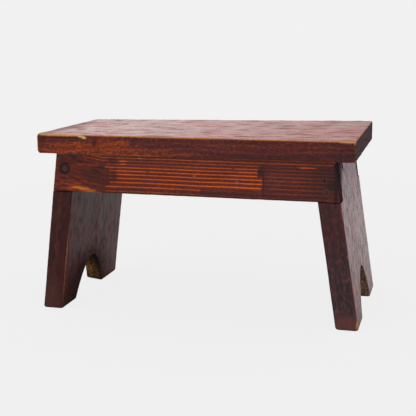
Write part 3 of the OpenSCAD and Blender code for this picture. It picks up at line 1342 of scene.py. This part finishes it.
    def raw_finish(self, edge: BoardFinish) -> BoardFinish:
        """The saw cuts in the arch and under the feet.

        Args:
            edge: The finish of the board's edges.

        Returns:
            The finish.
        """
        raw = replace(
            edge, name=f"{self.name}_raw_cut", rubbed_all=0.3, contrast=1.3, marks=(),
            stain=Stain((82, 65, 59), (110, 87, 72), (122, 95, 74), (172, 132, 88)),
            polish=Polish(0.8, 1.08, 1.0),
        )
        if self.end is End.RIGHT:
            return raw
        golden = Patch((-226, 42, 18), (16, 24, 18), 0.9, 0.5, 0.4)
        return replace(
            raw, flecks=(Fleck(golden, 0, (5, 2.5), (176, 116, 58)),),
            stain=Stain((52, 38, 32), (76, 54, 38), (92, 64, 40), (156, 108, 60)),
            marks=(
                Mark((-210, 10, 62), (40, 60, 26), (40, 27, 25), 0.75, 0.6, 0.4),
                Mark((-201, 34, 34), (9, 30, 30), (40, 27, 25), 0.7, 0.6),
            ),
        )

    def coats(self) -> list[Coat]:
        """The stained edges, the polished outer face, the dull inner face and the raw cuts.

        Returns:
            The board's finishes.
        """
        edge = self.edge_finish()
        outer = replace(
            edge, name=f"{self.name}_outer_polish", rubbed_all=0.25, contrast=1.0,
            stain=Stain(
                (94, 30, 36), (120, 44, 50), (114, 42, 46), (138, 64, 60),
                (140, 92, 76), (180, 132, 96),
            ),
            figure=replace(edge.figure, dash=3.0, dashes=0.45, show=0.6),
            polish=Polish(0.24, 1.365, 3.0, 2.0, dull=0.22, streak=(14.0, 6.0)),
        )
        inner = replace(
            edge, name=f"{self.name}_inner_stain", contrast=1.0,
            stain=Stain((80, 31, 33), (97, 43, 42), (99, 41, 40), (116, 57, 48)),
            figure=replace(edge.figure, dash=2.0),
            polish=Polish(0.36, 1.235, 2.0, 2.0, dull=0.17, streak=(18.0, 9.0)),
        )
        out = self.board().out
        coats = [
            Coat(edge.material()),
            Coat(outer.material(), lambda face: face.normal.dot(out) > SQUARE),
            Coat(inner.material(), lambda face: face.normal.dot(out) < -SQUARE),
            Coat(self.raw_finish(edge).material(), self.is_cut),
        ]
        if self.end is End.LEFT:
            return coats
        # Painted shade with dirt: the front corner under the seat is greyed, then darkened and dulled,
        # as the seat's overhang would shade it.
        faded_and_shaded = replace(
            outer, name=f"{self.name}_faded", polish=Polish(0.5, 1.24),
            stain=Stain((78, 44, 50), (100, 58, 62), (96, 56, 60), (114, 72, 74)),
        )
        grime_and_shade = replace(
            outer, name=f"{self.name}_grime", polish=Polish(0.8, 1.08),
            stain=Stain((58, 44, 44), (72, 55, 55), (70, 53, 53), (84, 64, 62)),
        )
        return [
            *coats,
            Coat(faded_and_shaded.material(), lambda face: self.is_shaded_or_grimy(face, self.shade_and_grime_starts[0])),
            Coat(grime_and_shade.material(), lambda face: self.is_shaded_or_grimy(face, self.shade_and_grime_starts[1])),
        ]

    def is_shaded_or_grimy(self, face: BMFace, past: float) -> bool:
        """Says whether a face is in the dark corner between the front notch and the seat, with its dirt
        and painted shade.
        """
        middle = face.calc_center_median()
        outward = face.normal.dot(self.board().out) > -self.grimy_inside
        return outward and middle.z - middle.y > past and -self.shade_and_grime_width < middle.y < 0

    def is_cut(self, face: BMFace) -> bool:
        """Says whether a face is in the arch or under a foot."""
        middle = face.calc_center_median()
        square = abs(face.normal.dot(self.board().out)) < HALFWAY
        half, height = (size + self.near_arch for size in (self.plan.arch_half, self.plan.arch_height))
        inside = -half - self.arch_slant < middle.y - self.arch_middle < half
        return square and (inside and middle.z < height or face.normal.z < -LEVEL)


@dataclass(kw_only=True)
class Rail(Board):
    """A long rail under the seat, its ends cut to the lean of the end boards."""

    side: Side
    nibble: Press = Press(0.7 * MM, 8 * MM, 0.2)
    wave: Press = Press(0.5 * MM, 50 * MM, 0.4)
    bite: float = 3 * MM
    shy: float = 0.8 * MM
    ease: float = 1.2 * MM
    plug: Pair = (-190.08, 215.465)
    plug_radius: float = 7.25 * MM
    plug_depth: float = 7.6 * MM
    front_nails: tuple[Pair, ...] = ((189.47, 209.35), (191.78, 193.55))
    rear_nails: tuple[Pair, ...] = ((191.41, 196.04), (188.01, 219.35))
    head_radius: float = 2.35 * MM
    head_floor: float = 3 * MM
    strips: tuple[int, int] = (103, 5)
    margin: float = 3 * MM
    end_depth: float = 6 * MM
    hole_sides: int = 40
    chips: tuple[Chip, ...] = (
        Chip((-152, -107.1, 181.2), (12, 1.6, 1.5)),
        Chip((203.0, -106.5, 232.6), (2.2, 1.8, 1.6)),
    )

    @property
    def name(self) -> str:
        """The rail's name."""
        return f"{self.side.name.lower()}_rail"

    def board(self) -> BoardFrame:
        """The board's own directions: along the stool, up, and out."""
        plan, sign = self.plan, self.side.value
        out = Vector((0, sign, 0))
        up = Vector((0, 0, 1))
        height = (plan.under + plan.rail_low) / 2
        deep = plan.rail_thickness / 2
        middle = Vector((0, sign * (plan.half_width - deep), height))
        half = (plan.reach(height) - self.shy, (plan.under - plan.rail_low) / 2, deep)
        return BoardFrame(middle, up.cross(out), up, out, half, plan.slope)

    def bore(self, x: float, z: float, radius: float, depth: float) -> Workpiece:
        """Makes the piece that drills the rail from its outer face.

        Args:
            x: Where the hole is along the stool, in millimetres.
            z: How high it is, in millimetres.
            radius: Its radius.
            depth: Its depth.

        Returns:
            The drill.
        """
        sign = self.side.value
        start = Vector((x * MM, sign * (self.plan.half_width - depth), z * MM))
        way = Vector((0, sign * (depth + self.spare), 0))
        return Workpiece.rod("drill", start, way, radius, self.hole_sides)

    def build(self) -> Workpiece:
        """Shapes the rail.

        Returns:
            The rail.
        """
        plan, sign = self.plan, self.side.value
        near, far = sorted((sign * plan.half_width, sign * (plan.half_width - plan.rail_thickness)))
        top = plan.end_top - self.shy
        rail = Workpiece.block(
            f"{self.name}_board", (-top, near, plan.rail_low), (top, far, plan.under)
        )
        drop = (plan.under - plan.rail_low) * plan.slope
        for end in End:
            rail.slide(
                lambda vertex: vertex.co.z < plan.rail_low + MM and end.value * vertex.co.x > 0,
                (end.value * drop, 0, 0),
            )
        rail.ease(self.ease, FACETS, lambda edge: not beyond(edge, 2, 1, plan.under - MM))
        reach = plan.reach(plan.rail_low)
        rows, columns = self.strips
        rail.rule((1, 0, 0), spread(-reach, reach, rows))
        rail.rule((0, 0, 1), spread(plan.rail_low + self.margin, plan.under - self.margin, columns))
        self.age(rail)
        nails = [(end.value * x, z) for end in End for x, z in self.rear_nails]
        if self.side is Side.FRONT:
            nails = self.front_nails
            rail.cut(self.bore(*self.plug, self.plug_radius, self.plug_depth))
        for x, z in nails:
            rail.cut(self.bore(x, z, self.head_radius, self.head_floor))
        if self.side is Side.FRONT:
            rail.chip(*self.chips)
        return rail

    def coats(self) -> list[Coat]:
        """The stained outer face, the dull inner face and the end grain.

        Returns:
            The rail's finishes.
        """
        knots = (Knot((-190, -106.5, 213), (44, 30, 26), 0.45),)
        figure = Figure(
            (-72, -110), 2.705, 0.82, 0.22, 1.1, 0.6, 0.4, 0.7, knots, bend=(-128, 0.14),
            skew=0.01, faint=0.32, clean=0.9,
        )
        outside = BoardFinish(
            f"{self.name}_stain", self.board(), figure,
            Stain((72, 37, 36), (98, 45, 38), (110, 42, 34), (216, 98, 30)),
            Polish(index=1.24), marks=self.joint(), rubbed_all=0.06, contrast=0.6,
            rubbed=(Patch((20, 106.5, 208), (150, 9, 22), 0.6),), twist=self.plan.twist,
        )
        if self.side is Side.FRONT:
            outside = replace(
                outside, rubbed=self.rubbed(), wear=self.worn(), flecks=self.flecks(),
                marks=(*self.joint(), *self.marks()),
            )
        inside = replace(
            outside, name=f"{self.name}_inside", rubbed=(), wear=(), marks=(), flecks=(),
            stain=Stain((60, 34, 26), (86, 50, 36), (84, 48, 34), (112, 66, 44)),
            polish=Polish(0.6, 1.1), rubbed_all=0.3,
        )
        ends = replace(
            inside, name=f"{self.name}_end_grain", rubbed_all=0.0, wear_width=0.1,
            stain=Stain((52, 37, 38), (68, 51, 52), (68, 51, 52), (78, 59, 58)),
            polish=Polish(0.85, 1.04),
        )
        out, past = self.board().out, self.plan.end_top - self.end_depth
        return [
            Coat(outside.material()),
            Coat(inside.material(), lambda face: face.normal.dot(out) < -MOSTLY),
            Coat(ends.material(), lambda face: past_end(face, past) and abs(face.normal.x) > MOSTLY),
        ]

    def rubbed(self) -> tuple[Patch, ...]:
        """Where the front rail's stain is rubbed thin: along bright lines, and in spots."""
        lines = (
            (-127, 97, 219.5), (-115, 97, 213.7), (-111.6, 104, 207.7), (-106.6, 104, 201.2),
            (-115.7, 102, 195.0),
        )
        bright = (
            Patch(((left + right) / 2, -106.5, z), ((right - left) / 2, 9, 3.1), 0.88, 0.9, 2.0, True)
            for left, right, z in lines
        )
        return (
            *bright,
            Patch((-12, -106.5, 225.5), (112, 9, 4), 0.4, 1.4, 3.0, True),
            Patch((20, -106.5, 233), (180, 9, 5), 0.5, 1.4, 3.0, True),
            Patch((-56, -106.5, 188), (70, 9, 4), 0.5, 1.4, 3.0, True),
            Patch((-66, -106.5, 206), (54, 9, 16), 0.85, 2.0, 3.0, True),
            Patch((166, -106.5, 226.3), (11, 5, 3), 0.95, 0.4, 0.3),
            Patch((-98.5, -106.5, 227), (6, 5, 5), 0.95, 0.4, 0.4),
            Patch((-118, -106.5, 190), (10, 5, 2.5), 0.95, 0.3, 0.2),
            Patch((-150, -106.5, 222), (22, 6, 2), 0.7, 0.5, 0.4),
            Patch((-185, -106.5, 190), (16, 6, 8), 0.35, 0.5, 0.5),
            Patch((150, -106.5, 206), (46, 6, 22), 0.22, 0.5, 0.5),
        )

    def worn(self) -> tuple[Patch, ...]:
        """Where the front rail's arrises are worn to bare wood."""
        return (
            Patch((-152, -106.5, 181.5), (18, 6, 4), 1.8),
            Patch((36, -106.5, 236), (126, 5, 4), 0.6),
            Patch((-206, -106.5, 216), (8, 5, 18), 1.3),
        )

    def flecks(self) -> tuple[Fleck, ...]:
        """The blotchy stain at the front rail's left end."""
        left = Patch((-172, -106.5, 208), (46, 8, 34), 1.0, 0.5, 0.4)
        low = Patch((-180, -106.5, 190), (34, 8, 12), 1.0, 0.5, 0.4)
        return (
            Fleck(left, 10, (14, 2.4), (150, 52, 24)),
            Fleck(left, 14, (17, 3.0), (48, 24, 23)),
            Fleck(low, 11, (11, 1.8), (196, 84, 30)),
        )

    def joint(self) -> tuple[Mark, ...]:
        """A grey line painted along the seam over the rail, as the shade under the seat's overhang, and
        the dirt in the joints under its ends.
        """
        y = self.side.value * 107
        return (
            # Painted shade: a grey line along the seam, where the seat's overhang shades the rail's
            # top.
            Mark((0, y, 236.4), (400, 6, 0.8), (88, 98, 96), 0.6, 0.7, square=True),
            Mark((-200, y, 181.6), (34, 6, 0.5), (26, 16, 16), 0.6, 0.5, 0.1, square=True),
            Mark((200, y, 179.4), (30, 6, 0.5), (26, 16, 16), 0.5, 0.5, 0.1, square=True),
        )

    def marks(self) -> tuple[Mark, ...]:
        """The front rail's stains, dirt and flecks of paint."""
        pale, rust, dark = (140, 118, 90), (120, 78, 50), (50, 24, 22)
        return (
            Mark((-114, -107, 206), (5.5, 6, 10), (60, 28, 25), 0.7, 0.5, 0.4),
            Mark((-171, -107, 188.2), (9, 6, 2.1), (230, 124, 40), 1.0, 0.3, 0.2),
            Mark((-161, -107, 186.5), (9, 6, 2.2), (228, 122, 44), 1.0, 0.3, 0.2),
            Mark((-151, -107, 184.4), (8, 6, 1.5), (206, 108, 38), 0.9, 0.4),
            Mark((-176, -107, 229), (24, 6, 8), (50, 24, 23), 0.4, 0.6, 0.5),
            Mark((-115, -107, 229), (8, 6, 5), dark, 0.6),
            Mark((-150, -107, 206), (28, 6, 12), (54, 26, 24), 0.35, 0.8, 0.9),
            Mark((-176, -107, 208), (52, 6, 34), (94, 36, 25), 0.35, 0.8),
            Mark((101, -107, 218.5), (3.4, 6, 4), (54, 28, 28), 0.7),
            Mark((105, -107, 202), (1.6, 6, 18), (54, 28, 30), square=True),
            Mark((190, -107, 210), (24, 6, 26), (50, 30, 31), 0.4, 0.6, 0.5),
            Mark((0, -107, 180.5), (190, 6, 1.6), (46, 24, 24), 0.5, 1.0, 1.0, square=True),
            Mark((204, -107, 208), (2.4, 6, 30), (36, 24, 27), 0.7, 0.8, 0.4, square=True),
            Mark((-190.1, -107, 215.5), (8.8, 6, 8.8), (36, 26, 27), 0.75, 0.25, 0.1),
            Mark((191.8, -107, 193.5), (4.6, 4, 4.6), (88, 66, 50), 0.6, 0.3, 0.1),
            Mark((197.6, -107, 203), (7, 4, 6), (42, 30, 32), 0.6),
            Mark((203.2, -107, 233.2), (2.0, 4, 1.3), (186, 192, 182), 0.9, 0.4, 0.1),
            Mark((-73.2, -107, 233.3), (2.0, 4, 1.6), pale, 0.5, 0.4, 0.1),
            Mark((-23.2, -107, 230.2), (2.0, 4, 1.6), rust, 0.4, 0.4, 0.1),
            Mark((6.9, -107, 210.2), (2.2, 4, 1.4), pale, 0.5, 0.4, 0.1),
            Mark((67.9, -107, 204), (2.2, 4, 1.4), pale, 0.4, 0.4, 0.1),
            Mark((-62.2, -107, 213.3), (1.8, 4, 1.8), dark, 0.6, 0.4, 0.1),
        )


@dataclass
class Plug:
    """The round plug over the screw, a little below the rail's face, with a soft edge."""

    middle: Point = mm(-190.08, -98.9, 215.465)
    radius: float = 7 * MM
    length: float = 7 * MM
    ease: float = 0.9 * MM
    rings: Pair = mm(1.6, 1.8)
    dish: float = 0.12 * MM
    sides: int = 48

    def build(self) -> Workpiece:
        """Turns the plug.

        Returns:
            The plug.
        """
        way = Vector((0, -self.length, 0))
        plug = Workpiece.rod("plug", Vector(self.middle), way, self.radius, self.sides)
        front = self.middle[1] - self.length
        plug.ease(self.ease, FACETS, lambda edge: beyond(edge, 1, -1, -front - 0.1 * MM))
        plug.choose(Element.FACE, lambda face: face.calc_center_median().y < front + 0.01 * MM)
        for inset in self.rings:
            bpy.ops.mesh.inset(thickness=inset, depth=-self.dish)
        Workpiece.let_go()
        return plug


@dataclass
class Nails:
    """The nails and the hidden screw, which keep their solids."""

    names: tuple[str, ...] = (
        "front_left_screw", "front_right_nails", "rear_left_nails", "rear_right_nails",
        "seat_left_nails", "seat_right_nails", "seat_front_nails", "seat_rear_nails",
    )

    def dress(self) -> None:
        """Gives them old steel."""
        steel = SteelFinish().material()
        for name in self.names:
            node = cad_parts[name]
            node.data.materials.clear()
            node.data.materials.append(steel)
            log.info("%s: keeps its solid", name)


@dataclass(frozen=True)
class Softbox:
    """A large soft lamp, as bright as a white sheet of the given glow."""

    name: str = "key"
    place: Point = (-1.2, -2.4, 1.6)
    aim: Point = (0, 0, 0.15)
    width: float = 1.8
    height: float = 1.4
    glow: float = 1.2

    def hang(self) -> None:
        """Hangs the lamp and aims it."""
        lamp = bpy.data.lights.new(self.name, "AREA")
        lamp.shape = "RECTANGLE"
        lamp.size = self.width
        lamp.size_y = self.height
        lamp.energy = self.glow * math.pi * self.width * self.height
        holder = bpy.data.objects.new(self.name, lamp)
        bpy.context.scene.collection.objects.link(holder)
        holder.location = self.place
        away = Vector(self.place) - Vector(self.aim)
        holder.rotation_euler = away.to_track_quat("Z", "Y").to_euler()
        holder.visible_camera = False


@dataclass
class Studio:
    """A pale floor, soft light and the camera.

    White is how bright the floor and the background look, albedo how bright the floor lights
    the stool, and shown how far it hides its shading. Fade and cool are how its glow changes
    with distance where a gloss shows it. Sky is the light from all round, and behind, lateral
    and far_left are how the gloss sees it.
    """

    white: float = 0.88
    albedo: float = 0.5
    shown: float = 0.93
    hide_span: Pair = (0.5, 1.2)
    fade_span: Pair = (0.5, 1.9)
    fade: Pair = (1.15, 0.72)
    cool_span: Pair = (0.7, 1.4)
    cool: Tone = (0.86, 0.865, 0.925, 1.0)
    sky: float = 0.85
    behind_span: Pair = (-0.3, 0.7)
    behind: float = 0.3
    lateral_span: Pair = (-0.42, 0.0)
    lateral: Pair = (1.15, 0.68)
    far_left_span: Pair = (-0.5, -0.38)
    far_left: Pair = (0.78, 1.0)
    floor_size: float = 60
    target: Point = (-0.0051, 0.0, 0.14185)
    distance: float = 1.33201
    yaw: float = 0.28382
    pitch: float = 0.21066
    roll: float = -0.019
    lens: float = 75.47
    sensor: float = 36
    clip: Pair = (0.05, 100)

    def aim(self) -> None:
        """Puts the camera where the photograph was taken."""
        data = bpy.data.cameras.new("camera")
        data.sensor_width = self.sensor
        data.lens = self.lens
        data.clip_start, data.clip_end = self.clip
        camera = bpy.data.objects.new("camera", data)
        bpy.context.scene.collection.objects.link(camera)
        level = math.cos(self.pitch)
        ahead = Vector((-math.sin(self.yaw) * level, math.cos(self.yaw) * level, -math.sin(self.pitch)))
        right = ahead.cross(Vector((0, 0, 1))).normalized()
        up = right.cross(ahead)
        tilted = right * math.cos(self.roll) + up * math.sin(self.roll)
        above = up * math.cos(self.roll) - right * math.sin(self.roll)
        turn = Matrix((tilted, above, -ahead)).transposed().to_4x4()
        camera.matrix_world = Matrix.Translation(Vector(self.target) - ahead * self.distance) @ turn
        bpy.context.scene.camera = camera

    def floor(self) -> None:
        """Lays a floor that looks evenly pale and keeps the stool's shadow."""
        Workpiece.let_go()
        bpy.ops.mesh.primitive_plane_add(size=self.floor_size, location=(0, 0, 0))
        floor = Workpiece("floor").body
        r = Recipe.named("floor")
        ray = r.node("LightPath").outputs
        gloss = ray["Is Glossy Ray"]
        far = r.vector("LENGTH", r.place())
        real = r.node("BsdfDiffuse", {"Color": grey(self.albedo)}).outputs[0]
        shown = r.node("BsdfDiffuse", {"Color": grey(self.white)}).outputs[0]
        fading = r.math("SUBTRACT", r.step(far, *self.fade_span, self.fade), 1)
        strength = r.math("MULTIPLY_ADD", fading, gloss, 1)
        cool = r.math("MULTIPLY", r.step(far, *self.cool_span), gloss)
        pale = r.mix(cool, grey(self.white), self.cool)
        glow = r.node("Emission", {"Color": pale, "Strength": strength})
        near = r.math("MULTIPLY_ADD", gloss, -self.shown, self.shown)
        share = r.math("MAXIMUM", r.step(far, *self.hide_span), near)
        pale = r.node("MixShader", {0: share, 1: shown, 2: glow.outputs[0]}).outputs[0]
        direct = r.math("MAXIMUM", ray["Is Camera Ray"], gloss)
        direct = r.math("MAXIMUM", direct, ray["Is Transmission Ray"])
        floor.data.materials.append(r.output(r.node("MixShader", {0: direct, 1: real, 2: pale})))

    def sky_dome(self) -> None:
        """Surrounds the stool with soft light, brighter behind it where a gloss shows it."""
        world = bpy.data.worlds.new("studio")
        bpy.context.scene.world = world
        r = Recipe(world)
        ray = r.node("LightPath").outputs
        way = r.parts(r.node("TexCoord").outputs["Generated"])
        behind = r.step(way[1], *self.behind_span, (self.behind, self.white))
        lateral = r.step(way[0], *self.lateral_span, self.lateral)
        far_left = r.step(way[0], *self.far_left_span, self.far_left)
        seen = r.math("MULTIPLY", r.math("MULTIPLY", behind, lateral), far_left)
        plain, back, gloss = (
            r.node("Background", {"Color": grey(1), "Strength": strength}).outputs[0]
            for strength in (self.sky, self.white, seen)
        )
        clear = r.math("MAXIMUM", ray["Is Camera Ray"], ray["Is Transmission Ray"])
        mixed = r.node("MixShader", {0: ray["Is Glossy Ray"], 1: plain, 2: gloss}).outputs[0]
        mixed = r.node("MixShader", {0: clear, 1: mixed, 2: back}).outputs[0]
        r.node("OutputWorld", {"Surface": mixed})

    def set_up(self) -> None:
        """Sets up the whole studio."""
        self.aim()
        self.floor()
        self.sky_dome()
        Softbox().hang()
        bpy.context.scene.view_settings.view_transform = "Standard"


def main() -> None:
    """Makes the studio and the stool."""
    logging.basicConfig(level=logging.INFO, format="%(name)s: %(message)s")
    Studio().set_up()
    Seat().make("seat_wood", "seat_board")
    for end in End:
        board = EndBoard(end=end)
        board.make("end_wood", f"{board.name}_board")
    for side in Side:
        rail = Rail(side=side)
        rail.make("rail_wood", rail.name)
    Plug().build().finish([Coat(PlugFinish().material())], "plug_wood", "front_left_plug")
    Nails().dress()


if __name__ == "__main__":
    main()
